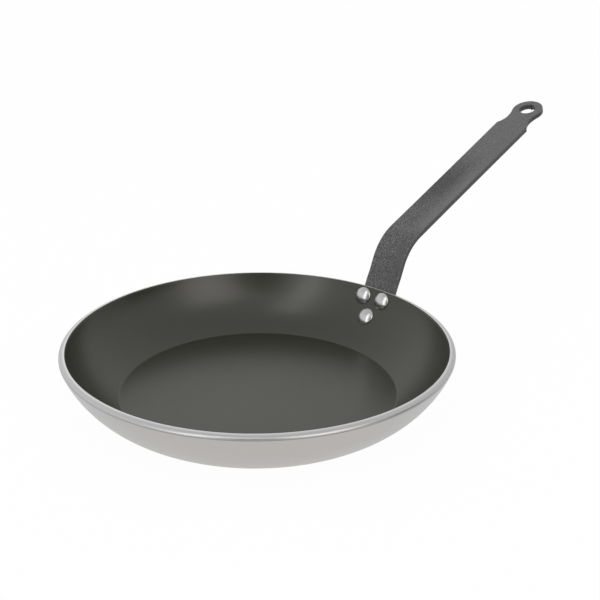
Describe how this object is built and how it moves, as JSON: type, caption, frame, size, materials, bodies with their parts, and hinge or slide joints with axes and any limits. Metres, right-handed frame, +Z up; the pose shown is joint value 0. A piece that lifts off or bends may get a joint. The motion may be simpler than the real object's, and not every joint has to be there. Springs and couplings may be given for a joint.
{
  "type": "omelette pan",
  "caption": "Round flared omelette pan of thick pressed aluminium with a dark non-stick lining and a long flat steel strip handle, bent upwards and riveted on, ending in a hanging eye.",
  "frame": {"origin": "centre of the flat underside, on the surface that the pan stands on", "axes": "+Z up along the axis of the round pan, +X along the handle from the pan to the eye, +Y to the left of the handle seen from the pan"},
  "size_m": [0.5029, 0.28, 0.1581],
  "materials": {
    "pan_aluminium": "satin brushed, polished at the cut rim",
    "nonstick": "satin dark grey non-stick lining",
    "handle_coating": "fine-textured dark grey coating on flat steel",
    "rivet_metal": "satin domed heads"
  },
  "bodies": {
    "root": {"pan_body": "pan_aluminium", "nonstick_lining": "nonstick", "handle": "handle_coating", "rivet_upper_left": "rivet_metal", "rivet_upper_right": "rivet_metal", "rivet_lower": "rivet_metal"}
  },
  "joints": []
}
